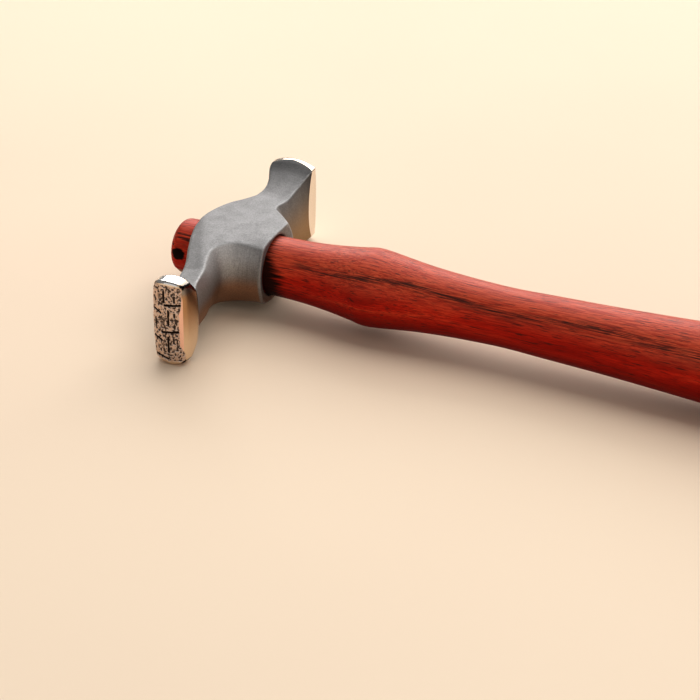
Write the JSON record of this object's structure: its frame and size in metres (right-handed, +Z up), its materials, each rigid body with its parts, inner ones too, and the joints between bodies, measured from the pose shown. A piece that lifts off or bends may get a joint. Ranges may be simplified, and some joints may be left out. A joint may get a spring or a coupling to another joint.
{
  "type": "texturing hammer",
  "caption": "Silversmith's texturing hammer: steel head with a narrow textured face and a wide smooth face, on a turned hardwood handle.",
  "frame": {"origin": "on the surface the hammer lies on, under the middle of its bounding box", "axes": "+X along the handle towards the grip's end, +Y along the head towards the smooth face, +Z up as the hammer lies on its side"},
  "size_m": [0.267, 0.0846, 0.0254],
  "materials": {
    "head_steel": "bead blasted grey body with polished ends",
    "handle_wood": "dark red hardwood, oiled and glossy",
    "wedge_wood": "end grain, sanded flush",
    "wedge_steel": "filed flush"
  },
  "bodies": {
    "root": {"hammer_head": "head_steel", "handle": "handle_wood", "eye_wedge": "wedge_wood", "cross_wedge": "wedge_steel"}
  },
  "joints": []
}
